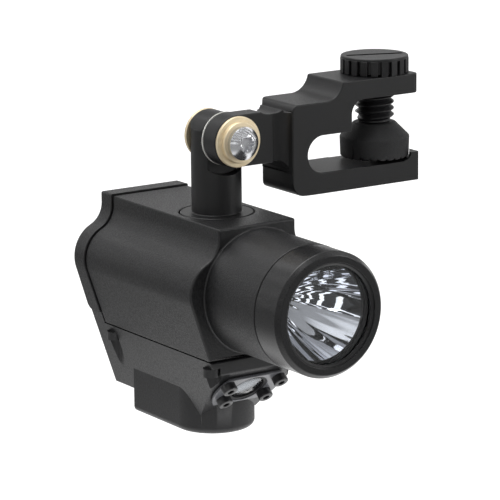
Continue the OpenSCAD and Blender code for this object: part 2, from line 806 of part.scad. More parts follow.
module switch_board() {
    color(board) from_seat() translate([0, 0, -46.6]) linear_extrude(1) boss_plan(7.4, 20.2);
}

module tact_switches() {
    color("#3a3a3a") from_seat() for (y = button_y) translate([0, y, 0]) {
        translate([-3, -3, -48]) cube([6, 6, 1.4]);
        translate([0, 0, switch_z]) cylinder(r = 1.2, h = 1);
    }
}

// cap with a flange inside the boss; its stem stops one travel short of the switch
module button(y) {
    stem_top = boss_depth + switch_z - gap - button_travel;
    color(rubber) from_seat() translate([0, y, -boss_depth]) {
        rotate_extrude() polygon([[0, 0.5], [3.2, 0.5], [4.1, 0.4],
            [button_r, 0.8], [button_r, 1.85], [5.3, 1.85],
            [5.3, 2.5], [1.5, 2.5], [1.5, stem_top], [0, stem_top]]);
    }
}

module spot_button() {
    button(button_y[0]);
}

module flood_button() {
    button(button_y[1]);
}

// ---- flood lamp ----
module flood_screw_places() {
    for (p = [[-7.2, 3.4], [7.2, 3.4], [-5.7, -2.7], [5.7, -2.7]]) translate([p[0], p[1], 0]) children();
}

module plate_outline(r, h) {
    intersection() {
        circle(r);
        translate([-far / 2, -h]) square([far, 2 * h]);
    }
}

module flood_board() {
    color("#e8e8e4") from_seat() on_slant() translate([0, 0, -4.35]) cylinder(r = 5.3, h = 0.8);
}

module flood_leds() {
    color("#f2d24a") from_seat() on_slant() for (a = [90, 210, 330]) rotate([0, 0, a])
        translate([1.2, -0.9, -3.55]) cube([1.8, 1.8, 0.6]);
}

module flood_lens() {
    color([0.85, 0.9, 0.95, 0.35]) from_seat() on_slant() {
        translate([0, 0, -1.5]) cylinder(r = 5.3, h = 1.2);
        intersection() {
            translate([0, 0, -9]) sphere(10.1);
            translate([0, 0, -1]) cylinder(r = flood_r - 0.5, h = 5);
        }
    }
}

module flood_seal() {
    color(rubber) from_seat() on_slant() rotate_extrude()
        translate([flood_r - 0.4, -0.28]) square([0.75, 0.9]);
}

module flood_gasket() {
    color(rubber) from_seat() on_slant() linear_extrude(0.2) difference() {
        plate_outline(plate_r - 0.2, plate_half_h - 0.2);
        circle(flood_r + 0.4);
        flood_screw_places() circle(1);
    }
}

module flood_plate() {
    color("#3a3b3e") from_seat() on_slant() translate([0, 0, 0.2]) linear_extrude(0.7) difference() {
        plate_outline(plate_r, plate_half_h);
        circle(flood_r + 0.4);
        flood_screw_places() circle(1);
    }
}

module flood_screws() {
    color("#2e2f31") from_seat() on_slant() flood_screw_places() difference() {
        union() {
            translate([0, 0, 0.9]) cylinder(r = 1.8, h = 1.85);
            translate([0, 0, -4]) cylinder(r = 0.95, h = 5);
        }
        translate([0, 0, 1.5]) cylinder(r = 0.9, h = 3, $fn = 6);
    }
}

clamp_bracket();
clamp_screw();
clamp_knob();
clamp_pad();
tilt_screw();
tilt_front_washer();
tilt_friction_washer();
tilt_rear_washer();
tilt_nut();
post();
swivel_washer();
swivel_clip();
main_housing();
lower_housing();
housing_gasket();
case_screws();
rear_cover();
cover_gasket();
cover_pin();
cover_screw();
cover_insert();
rear_contacts();
rear_springs();
front_contacts();
front_spring();
cell_left();
cell_middle();
cell_right();
bezel();
bezel_oring();
lens_seal();
lens();
reflector();
heat_sink();
led_board();
led_emitter();
driver_board();
driver_parts();
led_leads();
battery_leads();
flood_leads();
switch_board();
tact_switches();
spot_button();
flood_button();
flood_board();
flood_leds();
flood_lens();
flood_seal();
flood_gasket();
flood_plate();
flood_screws();
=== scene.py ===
# Helmet light: the visible pieces, finishes, studio and camera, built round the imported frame
import math

import bmesh
import bpy
from mathutils import Matrix, Vector


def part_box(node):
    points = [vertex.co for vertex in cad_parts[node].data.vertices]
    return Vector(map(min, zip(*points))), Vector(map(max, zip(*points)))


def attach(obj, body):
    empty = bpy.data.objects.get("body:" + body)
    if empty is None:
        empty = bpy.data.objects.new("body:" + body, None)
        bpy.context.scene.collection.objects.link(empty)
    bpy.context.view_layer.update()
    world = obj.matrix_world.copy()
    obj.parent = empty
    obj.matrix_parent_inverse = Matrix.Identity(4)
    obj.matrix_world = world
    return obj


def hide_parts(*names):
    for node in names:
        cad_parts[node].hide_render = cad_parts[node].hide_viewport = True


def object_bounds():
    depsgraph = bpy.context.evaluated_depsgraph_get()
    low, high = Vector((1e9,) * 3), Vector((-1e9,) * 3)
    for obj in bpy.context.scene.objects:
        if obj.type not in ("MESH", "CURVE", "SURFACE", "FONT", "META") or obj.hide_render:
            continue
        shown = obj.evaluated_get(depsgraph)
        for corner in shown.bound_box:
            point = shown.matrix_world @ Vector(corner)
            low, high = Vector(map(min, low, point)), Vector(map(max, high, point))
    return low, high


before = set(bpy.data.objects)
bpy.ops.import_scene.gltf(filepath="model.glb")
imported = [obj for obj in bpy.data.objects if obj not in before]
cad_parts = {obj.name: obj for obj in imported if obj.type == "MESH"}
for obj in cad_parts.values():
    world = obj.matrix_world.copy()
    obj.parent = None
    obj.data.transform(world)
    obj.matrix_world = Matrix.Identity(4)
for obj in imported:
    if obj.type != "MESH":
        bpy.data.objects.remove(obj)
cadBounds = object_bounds()
print("frame loaded:", len(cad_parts), "nodes")

mm = 0.001
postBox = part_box("post")
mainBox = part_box("main_housing")
# every piece is drawn in millimetres from here: the post's axis where it meets the deck
deck = Vector(((postBox[0][0] + postBox[1][0]) / 2, (postBox[0][1] + postBox[1][1]) / 2, mainBox[1][2]))
toFrame = Matrix.Translation(deck) @ Matrix.Scale(mm, 4)


def boxOf(node):
    # a node's corners in millimetres from the deck's centre
    low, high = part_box(node)
    return (Vector(low) - deck) / mm, (Vector(high) - deck) / mm


def middleOf(node):
    low, high = boxOf(node)
    return (low + high) / 2


# ---------- materials ----------
def fromHex(code):
    # sRGB hex to the linear colour that shaders use
    values = [int(code[i:i + 2], 16) / 255 for i in (1, 3, 5)]
    return tuple(v / 12.92 if v <= 0.04045 else ((v + 0.055) / 1.055) ** 2.4 for v in values) + (1.0,)


def addNode(tree, kind, settings=None, values=None, links=None):
    # one node with its settings, its fixed inputs and what feeds it
    node = tree.nodes.new(kind)
    for key, value in (settings or {}).items():
        setattr(node, key, value)
    for key, value in (values or {}).items():
        node.inputs[key].default_value = value
    for key, source in (links or {}).items():
        tree.links.new(source, node.inputs[key])
    return node


def maths(tree, operation, first, second=0.0, third=0.0):
    # one math node; each value is a number or a socket
    node = addNode(tree, "ShaderNodeMath", settings={"operation": operation})
    for i, value in enumerate((first, second, third)):
        if isinstance(value, (int, float)):
            node.inputs[i].default_value = value
        else:
            tree.links.new(value, node.inputs[i])
    return node.outputs[0]


def perMm(size):
    # texture scale that gives features of this size in millimetres
    return 1000 / size


def startMaterial(name, settings):
    material = bpy.data.materials.new(name)
    material.use_nodes = True
    tree = material.node_tree
    tree.nodes.clear()
    shader = addNode(tree, "ShaderNodeBsdfPrincipled", values=settings)
    out = addNode(tree, "ShaderNodeOutputMaterial", links={"Surface": shader.outputs["BSDF"]})
    out.location = (300, 0)
    place = addNode(tree, "ShaderNodeTexCoord").outputs["Object"]
    return material, tree, shader, place


def texturedMaterial(name, look):
    # moulded or coated surface: soft colour drift, uneven gloss and a fine grain that catches light
    settings = {"Roughness": look["gloss"][0], "Metallic": look.get("metal", 0.0)}
    if "ior" in look:
        settings["IOR"] = look["ior"]
    material, tree, shader, place = startMaterial(name, settings)
    drift = addNode(tree, "ShaderNodeTexNoise", values={"Scale": perMm(look["driftMm"]), "Detail": 3.0},
                    links={"Vector": place})
    tint = addNode(tree, "ShaderNodeMix", settings={"data_type": "RGBA"},
                   values={6: fromHex(look["dark"]), 7: fromHex(look["light"])},
                   links={0: drift.outputs["Fac"]})
    tree.links.new(tint.outputs[2], shader.inputs["Base Color"])
    grain = addNode(tree, "ShaderNodeTexNoise",
                    values={"Scale": perMm(look["grainMm"]), "Detail": 2.0, "Roughness": 0.6},
                    links={"Vector": place})
    gloss = addNode(tree, "ShaderNodeMapRange",
                    values={"From Min": 0.35, "From Max": 0.65, "To Min": look["gloss"][0],
                            "To Max": look["gloss"][1]},
                    links={"Value": grain.outputs["Fac"]})
    tree.links.new(gloss.outputs["Result"], shader.inputs["Roughness"])
    bump = addNode(tree, "ShaderNodeBump", values={"Strength": look.get("strength", 1.0),
                                                   "Distance": look["depthMm"] * mm},
                   links={"Height": grain.outputs["Fac"]})
    tree.links.new(bump.outputs["Normal"], shader.inputs["Normal"])
    return material


looks = {
    # injection-moulded nylon with a spark-eroded mould: fine sparkle, no mirror reflections
    "mouldedNylonBlack": {"dark": "#101011", "light": "#171719", "driftMm": 7, "grainMm": 0.38, "depthMm": 0.08,
                          "gloss": (0.34, 0.56), "ior": 1.5},
    # the lower shell's nylon, from another mould, a touch greyer
    "mouldedNylonCharcoal": {"dark": "#131314", "light": "#1b1b1d", "driftMm": 7, "grainMm": 0.42,
                             "depthMm": 0.035, "gloss": (0.32, 0.50), "ior": 1.52},
    # anodised turned ring: smooth satin with a soft roll of light
    "anodisedSatinBlack": {"dark": "#0d0d0e", "light": "#131315", "driftMm": 5, "grainMm": 0.2, "depthMm": 0.004,
                           "gloss": (0.26, 0.34), "ior": 1.5},
    # powder-like black coat on a die-cast clamp: even satin with a very fine orange peel
    "satinCoatedCastBlack": {"dark": "#111112", "light": "#171718", "driftMm": 9, "grainMm": 0.3,
                             "depthMm": 0.010, "gloss": (0.36, 0.46), "ior": 1.47},
    # black oxide on cut steel: dark, slightly metallic, glints on the thread crests
    "blackOxideSteel": {"dark": "#121213", "light": "#1b1b1d", "driftMm": 2, "grainMm": 0.15, "depthMm": 0.004,
                        "gloss": (0.28, 0.42), "ior": 1.6},
    # moulded rubber: dull, nearly no highlight
    "mouldedRubberBlack": {"dark": "#1e1e1f", "light": "#262627", "driftMm": 3, "grainMm": 0.25,
                           "depthMm": 0.012, "gloss": (0.55, 0.72), "ior": 1.45},
    # grey satin lacquer on the pressed plate: pale edges, soft sheen
    "satinLacquerGrey": {"dark": "#55565a", "light": "#66676b", "driftMm": 4, "grainMm": 0.22, "depthMm": 0.005,
                         "gloss": (0.26, 0.36), "ior": 1.6},
    # natural nylon washer: milky white
    "nylonNatural": {"dark": "#d9d8d2", "light": "#e8e7e2", "driftMm": 3, "grainMm": 0.3, "depthMm": 0.004,
                     "gloss": (0.35, 0.45), "ior": 1.53},
    # glass-fibre board under green solder mask
    "solderMaskGreen": {"dark": "#0f4a28", "light": "#17603a", "driftMm": 2, "grainMm": 0.3, "depthMm": 0.004,
                        "gloss": (0.22, 0.30), "ior": 1.5},
    "solderMaskWhite": {"dark": "#dcdcd6", "light": "#ecece8", "driftMm": 2, "grainMm": 0.3, "depthMm": 0.004,
                        "gloss": (0.25, 0.32), "ior": 1.5},
    "solderMaskGrey": {"dark": "#808184", "light": "#929396", "driftMm": 2, "grainMm": 0.3, "depthMm": 0.004,
                       "gloss": (0.25, 0.32), "ior": 1.5},
    # epoxy bodies of the electronic parts
    "mouldedEpoxyBlack": {"dark": "#202124", "light": "#2b2c30", "driftMm": 1.5, "grainMm": 0.15,
                          "depthMm": 0.004, "gloss": (0.45, 0.55), "ior": 1.5},
    # printed shrink sleeve of a cell, left plain
    "shrinkSleeveSlate": {"dark": "#4c545b", "light": "#59626a", "driftMm": 6, "grainMm": 0.5, "depthMm": 0.006,
                          "gloss": (0.20, 0.28), "ior": 1.5},
    # phosphor in silicone over the light source
    "phosphorYellow": {"dark": "#d9b43a", "light": "#e8c854", "driftMm": 0.8, "grainMm": 0.1, "depthMm": 0.002,
                       "gloss": (0.30, 0.40), "ior": 1.45},
    "wireSleeveRed": {"dark": "#8e1c18", "light": "#a3241f", "driftMm": 2, "grainMm": 0.2, "depthMm": 0.003,
                      "gloss": (0.32, 0.42), "ior": 1.5},
    "wireSleeveBlack": {"dark": "#17171a", "light": "#202023", "driftMm": 2, "grainMm": 0.2, "depthMm": 0.003,
                        "gloss": (0.32, 0.42), "ior": 1.5},
}
finishes = {name: texturedMaterial(name, look) for name, look in looks.items()}


def turnedMetal(name, look):
    # lathe-turned metal: fine rings round the axis through the piece, stretched highlights
    material, tree, shader, place = startMaterial(name, {"Metallic": 1.0, "Roughness": look["gloss"][0]})
    centred = addNode(tree, "ShaderNodeMapping", settings={"vector_type": "POINT"},
                      values={"Location": tuple(-v for v in look["centre"])}, links={"Vector": place})
    rings = addNode(tree, "ShaderNodeTexWave",
                    settings={"wave_type": "RINGS", "rings_direction": look["axis"]},
                    values={"Scale": perMm(look["ringMm"]) / 20, "Distortion": 1.2, "Detail": 2.0},
                    links={"Vector": centred.outputs["Vector"]})
    wear = addNode(tree, "ShaderNodeTexNoise", values={"Scale": perMm(look["wearMm"]), "Detail": 3.0},
                   links={"Vector": place})
    tint = addNode(tree, "ShaderNodeMix", settings={"data_type": "RGBA"},
                   values={6: fromHex(look["dark"]), 7: fromHex(look["light"])}, links={0: wear.outputs["Fac"]})
    tree.links.new(tint.outputs[2], shader.inputs["Base Color"])
    gloss = addNode(tree, "ShaderNodeMapRange", values={"To Min": look["gloss"][0], "To Max": look["gloss"][1]},
                    links={"Value": wear.outputs["Fac"]})
    tree.links.new(gloss.outputs["Result"], shader.inputs["Roughness"])
    bump = addNode(tree, "ShaderNodeBump", values={"Strength": 0.6, "Distance": look["depthMm"] * mm},
                   links={"Height": rings.outputs["Fac"]})
    tree.links.new(bump.outputs["Normal"], shader.inputs["Normal"])
    return material


tiltCentre = deck + middleOf("tilt_front_washer") * mm
lampCentre = deck + middleOf("bezel") * mm
# turned brass: warm, with fine lathe rings that spread the highlight
finishes["turnedBrass"] = turnedMetal("turnedBrass", {
    "centre": tiltCentre, "axis": "Y", "ringMm": 0.25, "wearMm": 1.5, "depthMm": 0.006,
    "dark": "#ead6ae", "light": "#fbf0d8", "gloss": (0.50, 0.62)})
# bright stainless steel, cold-headed and tumbled: sharp white and black reflections
finishes["tumbledStainless"] = turnedMetal("tumbledStainless", {
    "centre": tiltCentre, "axis": "Y", "ringMm": 0.3, "wearMm": 0.8, "depthMm": 0.003,
    "dark": "#c6c7ca", "light": "#e6e7ea", "gloss": (0.16, 0.30)})
# bare turned aluminium of the heat sink
finishes["turnedAluminium"] = turnedMetal("turnedAluminium", {
    "centre": lampCentre, "axis": "Y", "ringMm": 0.25, "wearMm": 2, "depthMm": 0.005,
    "dark": "#b9bcc0", "light": "#d2d5d8", "gloss": (0.25, 0.38)})


ripple = {"perRadian": 2.6, "lengthMm": 45, "heightMm": 0.32}


def reflectorCoat():
    # aluminium vapour on a moulded bowl: a near mirror whose ripples run from the base to the mouth,
    # so that it draws the room out into bright and dark streaks
    material, tree, shader, place = startMaterial(
        "vapourAluminiumMirror", {"Metallic": 1.0, "Roughness": 0.03, "Base Color": fromHex("#f1f2f6")})
    centred = addNode(tree, "ShaderNodeVectorMath", settings={"operation": "SUBTRACT"},
                      values={1: lampCentre}, links={0: place})
    split = addNode(tree, "ShaderNodeSeparateXYZ", links={"Vector": centred.outputs["Vector"]})
    angle = maths(tree, "ARCTAN2", split.outputs["Z"], split.outputs["X"])
    around = addNode(tree, "ShaderNodeCombineXYZ", links={
        "X": maths(tree, "MULTIPLY", angle, ripple["perRadian"]),
        "Y": maths(tree, "MULTIPLY", split.outputs["Y"], perMm(ripple["lengthMm"]))})
    wave = addNode(tree, "ShaderNodeTexNoise", settings={"noise_dimensions": "2D"},
                   values={"Scale": 1.0, "Detail": 0.0}, links={"Vector": around.outputs["Vector"]})
    bump = addNode(tree, "ShaderNodeBump", values={"Strength": 1.0, "Distance": ripple["heightMm"] * mm},
                   links={"Height": wave.outputs["Fac"]})
    tree.links.new(bump.outputs["Normal"], shader.inputs["Normal"])
    return material


def windowResin(name, colour, haze):
    # clear polycarbonate: sharp reflection of the lights over a full view of what lies behind;
    # more haze and a greyer colour give the flood lamp's light-spreading window
    material, tree, shader, place = startMaterial(
        name, {"Transmission Weight": 1.0, "Roughness": 0.0, "IOR": 1.5, "Base Color": fromHex(colour)})
    dust = addNode(tree, "ShaderNodeTexNoise", values={"Scale": perMm(3), "Detail": 2.0},
                   links={"Vector": place})
    spread = addNode(tree, "ShaderNodeMapRange",
                     values={"From Min": 0.5, "From Max": 0.9, "To Min": haze[0], "To Max": haze[1]},
                     links={"Value": dust.outputs["Fac"]})
    tree.links.new(spread.outputs["Result"], shader.inputs["Roughness"])
    return material


finishes["vapourAluminiumMirror"] = reflectorCoat()
finishes["clearPolycarbonate"] = windowResin("clearPolycarbonate", "#f9fbfc", (0.0, 0.03))
finishes["frostedPolycarbonate"] = windowResin("frostedPolycarbonate", "#8f9398", (0.18, 0.28))
print("materials made:", len(finishes))


# ---------- shared shape tools ----------
def addPiece(name, mesh):
    piece = bpy.data.objects.new(name, mesh)
    bpy.context.scene.collection.objects.link(piece)
    return piece


def softenNormals(piece, angle=32):
    # smooth across gentle facets, crisp past the angle, flats kept flat by area-weighted normals
    for face in piece.data.polygons:
        face.use_smooth = True
    piece.data.set_sharp_from_angle(angle=math.radians(angle))
    weigh = piece.modifiers.new("weigh", "WEIGHTED_NORMAL")
    weigh.keep_sharp = True
    weigh.mode = "FACE_AREA_WITH_ANGLE"
    weigh.weight = 70


def settle(piece):
    # turns the piece with its modifiers into one plain mesh
    shape = bpy.context.evaluated_depsgraph_get()
    plain = bpy.data.meshes.new_from_object(piece.evaluated_get(shape), depsgraph=shape)
    piece.modifiers.clear()
    piece.data = plain
    return piece


def finish(piece, body, finishName, nodes, angle=32):
    softenNormals(piece, angle)
    settle(piece)
    piece.data.materials.clear()
    piece.data.materials.append(finishes[finishName])
    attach(piece, body)
    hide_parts(*nodes)
    return piece


def mergedMesh(node):
    # the CAD node's loose triangles, joined, with each flat side as one face, in millimetres from the deck
    shape = bmesh.new()
    shape.from_mesh(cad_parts[node].data)
    bmesh.ops.transform(shape, matrix=toFrame.inverted(), verts=shape.verts)
    bmesh.ops.remove_doubles(shape, verts=shape.verts, dist=0.002)
    bmesh.ops.dissolve_limit(shape, angle_limit=math.radians(0.6), verts=shape.verts, edges=shape.edges)
    return shape


def roundedCopy(node, name, rounding, sharpFrom=30, steps=3):
    # a merged copy of a CAD node whose chosen edges get a real rounding
    # rounding takes an edge's middle and direction and answers with a radius in millimetres
    shape = mergedMesh(node)
    weights = shape.edges.layers.float.new("bevel_weight_edge")
    radii = {}
    for edge in shape.edges:
        if len(edge.link_faces) == 2 and edge.calc_face_angle(0) > math.radians(sharpFrom):
            start, end = (v.co for v in edge.verts)
            radii[edge.index] = rounding((start + end) / 2, (end - start).normalized())
    widest = max(radii.values())
    for edge in shape.edges:
        edge[weights] = radii.get(edge.index, 0) / widest
    mesh = bpy.data.meshes.new(name)
    shape.to_mesh(mesh)
    shape.free()
    piece = addPiece(name, mesh)
    bevel = piece.modifiers.new("edges", "BEVEL")
    bevel.limit_method = "WEIGHT"
    bevel.offset_type = "OFFSET"
    bevel.width = widest
    bevel.segments = steps
    bevel.use_clamp_overlap = False
    bevel.miter_outer = "MITER_ARC"
    settle(piece)
    # a rounding that overshoots at a tight corner is kept inside the node's own box
    low, high = boxOf(node)
    for vert in piece.data.vertices:
        vert.co = [min(max(c, a), b) for c, a, b in zip(vert.co, low, high)]
    piece.data.transform(toFrame)
    return piece


def roundCorners(points, radii, steps=5):
    # an outline with its corners turned into arcs; radii holds one radius for each point
    result = []
    count = len(points)
    for i, point in enumerate(points):
        here = Vector(point)
        radius = radii[i]
        if radius == 0:
            result.append(here)
            continue
        back = (Vector(points[i - 1]) - here).normalized()
        ahead = (Vector(points[(i + 1) % count]) - here).normalized()
        half = math.acos(max(-1, min(1, back.dot(ahead)))) / 2
        reach = radius / math.tan(half)
        centre = here + (back + ahead).normalized() * (radius / math.sin(half))
        start = (here + back * reach - centre).normalized()
        end = (here + ahead * reach - centre).normalized()
        for k in range(steps + 1):
            result.append(centre + start.slerp(end, k / steps) * radius)
    return result


def lathe(name, outline, centre, axis, columns=96, closed=True, lobes=6):
    # turns an outline of (radius, height) points round an axis; radius 0 makes a pole
    # a third number on a point waves its ring in and out, as a six-lobed drive needs
    shape = bmesh.new()
    turn = Vector((0, 0, 1)).rotation_difference(Vector(axis)).to_matrix().to_4x4()
    rings = []
    for radius, height, *wave in outline:
        if radius < 1e-6:
            rings.append([shape.verts.new((0, 0, height))])
            continue
        ring = []
        for k in range(columns):
            angle = 2 * math.pi * k / columns
            reach = radius + (wave[0] * math.cos(lobes * angle) if wave else 0)
            ring.append(shape.verts.new((reach * math.cos(angle), reach * math.sin(angle), height)))
        rings.append(ring)
    pairs = list(zip(rings, rings[1:] + rings[:1])) if closed else list(zip(rings, rings[1:]))
    for low, high in pairs:
        for k in range(columns):
            n = (k + 1) % columns
            corners = [low[k % len(low)], low[n % len(low)], high[n % len(high)], high[k % len(high)]]
            unique = list(dict.fromkeys(corners))
            if len(unique) > 2:
                shape.faces.new(unique)
    bmesh.ops.remove_doubles(shape, verts=shape.verts, dist=0.0005)
    bmesh.ops.recalc_face_normals(shape, faces=shape.faces)
    bmesh.ops.transform(shape, matrix=toFrame @ Matrix.Translation(centre) @ turn, verts=shape.verts)
    mesh = bpy.data.meshes.new(name)
    shape.to_mesh(mesh)
    shape.free()
    return addPiece(name, mesh)


def islands(node):
    # the separate solids of a CAD node, each as a list of its corners in millimetres from the deck
    shape = mergedMesh(node)
    left = set(shape.verts)
    groups = []
    while left:
        queue = [left.pop()]
        group = list(queue)
        while queue:
            for edge in queue.pop().link_edges:
                for vert in edge.verts:
                    if vert in left:
                        left.remove(vert)
                        queue.append(vert)
                        group.append(vert)
        groups.append([vert.co.copy() for vert in group])
    shape.free()
    return groups


def startTree(name, inputs):
    # an empty geometry tree with named inputs;
    # answers with the tree, its input node and the sockets' identifiers
    tree = bpy.data.node_groups.new(name, "GeometryNodeTree")
    tree.interface.new_socket("Geometry", in_out="INPUT", socket_type="NodeSocketGeometry")
    tree.interface.new_socket("Geometry", in_out="OUTPUT", socket_type="NodeSocketGeometry")
    names = {}
    for label, kind in inputs.items():
        names[label] = tree.interface.new_socket(label, in_out="INPUT", socket_type=kind).identifier
    return tree, tree.nodes.new("NodeGroupInput"), names


def endTree(tree, geometry, material):
    # realised instances with their material, as the export needs
    real = addNode(tree, "GeometryNodeRealizeInstances", links={"Geometry": geometry})
    painted = addNode(tree, "GeometryNodeSetMaterial", values={"Material": material},
                      links={"Geometry": real.outputs["Geometry"]})
    addNode(tree, "NodeGroupOutput", links={0: painted.outputs["Geometry"]})


def ribTree(material):
    # copies one rib round an axis and joins it to the piece's own shape
    tree, given, names = startTree("ribsRound", {
        "Rib": "NodeSocketObject", "Count": "NodeSocketInt", "Radius": "NodeSocketFloat",
        "Centre": "NodeSocketVector"})
    ring = addNode(tree, "GeometryNodeMeshCircle",
                   links={"Vertices": given.outputs["Count"], "Radius": given.outputs["Radius"]})
    place = addNode(tree, "GeometryNodeInputPosition")
    facing = addNode(tree, "FunctionNodeAlignRotationToVector", settings={"axis": "X"},
                     links={"Vector": place.outputs["Position"]})
    rib = addNode(tree, "GeometryNodeObjectInfo", links={"Object": given.outputs["Rib"]})
    copies = addNode(tree, "GeometryNodeInstanceOnPoints",
                     links={"Points": ring.outputs["Mesh"], "Instance": rib.outputs["Geometry"],
                            "Rotation": facing.outputs["Rotation"]})
    moved = addNode(tree, "GeometryNodeTransform",
                    links={"Geometry": copies.outputs["Instances"], "Translation": given.outputs["Centre"]})
    joined = addNode(tree, "GeometryNodeJoinGeometry", links={"Geometry": given.outputs["Geometry"]})
    tree.links.new(moved.outputs["Geometry"], joined.inputs["Geometry"])
    endTree(tree, joined.outputs["Geometry"], material)
    return tree, names


def placesTree(material):
    # puts one object on each point of the piece
    tree, given, names = startTree("onPlaces", {"Part": "NodeSocketObject"})
    part = addNode(tree, "GeometryNodeObjectInfo", links={"Object": given.outputs["Part"]})
    copies = addNode(tree, "GeometryNodeInstanceOnPoints",
                     links={"Points": given.outputs["Geometry"], "Instance": part.outputs["Geometry"]})
    endTree(tree, copies.outputs["Instances"], material)
    return tree, names


def threadTree(material):
    # bends a grid into a right-hand V thread and joins it to the piece's own shape
    tree, given, names = startTree("rightHandThread", {
        "Turns": "NodeSocketFloat", "Pitch": "NodeSocketFloat", "Root": "NodeSocketFloat",
        "Depth": "NodeSocketFloat", "Start Angle": "NodeSocketFloat", "Start": "NodeSocketVector"})
    grid = addNode(tree, "GeometryNodeMeshGrid",
                   values={"Size X": 1.0, "Size Y": 1.0, "Vertices X": 420, "Vertices Y": 13})
    place = addNode(tree, "GeometryNodeInputPosition")
    split = addNode(tree, "ShaderNodeSeparateXYZ", links={"Vector": place.outputs["Position"]})
    along = maths(tree, "MULTIPLY", maths(tree, "ADD", split.outputs["X"], 0.5), given.outputs["Turns"])
    across = maths(tree, "ADD", split.outputs["Y"], 0.5)
    fromMiddle = maths(tree, "ABSOLUTE", maths(tree, "MULTIPLY_ADD", across, 2.0, -1.0))
    ridge = maths(tree, "SUBTRACT", 1.0, fromMiddle)
    crest = maths(tree, "MINIMUM", maths(tree, "MULTIPLY", ridge, 1.12), 1.0)
    runIn = maths(tree, "MINIMUM", maths(tree, "MULTIPLY", along, 3.0), 1.0)
    height = maths(tree, "MULTIPLY", crest, runIn)
    radius = maths(tree, "MULTIPLY_ADD", height, given.outputs["Depth"], given.outputs["Root"])
    angle = maths(tree, "MULTIPLY_ADD", along, 2 * math.pi, given.outputs["Start Angle"])
    lift = maths(tree, "MULTIPLY", maths(tree, "ADD", along, across), given.outputs["Pitch"])
    bent = addNode(tree, "ShaderNodeCombineXYZ", links={
        "X": maths(tree, "MULTIPLY", radius, maths(tree, "COSINE", angle)),
        "Y": maths(tree, "MULTIPLY", radius, maths(tree, "SINE", angle)), "Z": lift})
    thread = addNode(tree, "GeometryNodeSetPosition",
                     links={"Geometry": grid.outputs["Mesh"], "Position": bent.outputs["Vector"]})
    moved = addNode(tree, "GeometryNodeTransform",
                    links={"Geometry": thread.outputs["Geometry"], "Translation": given.outputs["Start"]})
    joined = addNode(tree, "GeometryNodeJoinGeometry", links={"Geometry": given.outputs["Geometry"]})
    tree.links.new(moved.outputs["Geometry"], joined.inputs["Geometry"])
    endTree(tree, joined.outputs["Geometry"], material)
    return tree, names


def applyTree(piece, made, values):
    tree, names = made
    modifier = piece.modifiers.new(tree.name, "NODES")
    modifier.node_group = tree
    for label, value in values.items():
        modifier[names[label]] = value
    return settle(piece)


# ---------- housings ----------
housing = {"frontEdge": 0.55, "deckEdge": 0.45, "backEdge": 0.25, "seamEdge": 0.2, "barrelFoot": 0.45,
           "socketEdge": 0.25, "socketReach": 9.4, "backFromX": 9.3}
coverRim = {"outer": 0.6, "outerFromZ": -26, "screwZ": -3.8, "screwClear": 3, "inner": 0.2, "innerFromX": 9.4,
            "top": 0.5}


def housingEdges():
    lampLow, lampHigh = boxOf("bezel")
    lampZ = (lampLow.z + lampHigh.z) / 2
    low, high = boxOf("main_housing")
    coverLow, coverHigh = boxOf("rear_cover")
    front = boxOf("lower_housing")[0].y
    barrel = (lampHigh.x - lampLow.x) / 2

    def radius(place, direction):
        fromLamp = math.hypot(place.x, place.z - lampZ)
        if abs(place.y - front) < 0.05:
            return housing["barrelFoot"] if abs(fromLamp - barrel) < 0.4 else housing["frontEdge"]
        if place.y < front:
            return housing["socketEdge"] if fromLamp > barrel - 0.3 else 0.05
        if abs(place.y - high.y) < 0.05 and abs(place.x) > housing["backFromX"]:
            return housing["backEdge"]
        if place.z > -0.05:
            if math.hypot(place.x, place.y) < housing["socketReach"]:
                return housing["socketEdge"]
            return housing["deckEdge"]
        if place.z < low.z + 0.05:
            return housing["seamEdge"]
        return 0.0

    return radius


piece = roundedCopy("main_housing", "mainHousing", housingEdges())
finish(piece, "light", "mouldedNylonBlack", ["main_housing"])


def coverEdges():
    low, high = boxOf("rear_cover")

    def radius(place, direction):
        outer = abs(place.y - high.y) < 0.05
        inner = abs(place.y - low.y) < 0.05
        alongTop = place.z > high.z - 0.05
        if outer:
            fromScrew = math.hypot(place.x, place.z - coverRim["screwZ"])
            plain = place.z > coverRim["outerFromZ"] and fromScrew > coverRim["screwClear"]
            return coverRim["outer"] if plain else 0.0
        if inner:
            return coverRim["inner"] if abs(place.x) > coverRim["innerFromX"] or alongTop else 0.0
        if alongTop:
            return coverRim["top"]
        return 0.0

    return radius


piece = roundedCopy("rear_cover", "rearCover", coverEdges())
finish(piece, "cover", "mouldedNylonBlack", ["rear_cover"])


def lowerEdges(place, direction):
    # only the straight outer edges; the boss and the pockets meet the sides in crisp lines
    low, high = boxOf("lower_housing")
    if abs(place.y - high.y) < 0.05:
        return 0.25
    if abs(place.y - low.y) < 0.05:
        return 0.4
    return 0.0


piece = roundedCopy("lower_housing", "lowerHousing", lowerEdges)
finish(piece, "light", "mouldedNylonCharcoal", ["lower_housing"], 15)
print("housings done")

# ---------- clamp and post ----------
bracket = {"corner": 0.3, "lip": 0.08, "stepX": 34, "hollowX": 10.14, "spreadX": 8.7}


def bracketEdges(place, direction):
    # the shallow step, the hollows' starts and the pocket in the end lip stay crisp
    low = boxOf("clamp_bracket")[0]
    if place.z < low.z + 5.6 and abs(place.x - bracket["stepX"]) < 0.4:
        return 0.0
    if abs(place.x - bracket["hollowX"]) < 0.3 or abs(place.x - bracket["spreadX"]) < 0.2:
        return 0.0
    if place.x > bracket["stepX"] and low.z + 4.7 < place.z < low.z + 7.2:
        return bracket["lip"]
    return bracket["corner"]


piece = roundedCopy("clamp_bracket", "clampBracket", bracketEdges)
finish(piece, "bracket", "satinCoatedCastBlack", ["clamp_bracket"])

piece = roundedCopy("post", "postBody", lambda place, direction: 0.25)
finish(piece, "post", "satinCoatedCastBlack", ["post"])

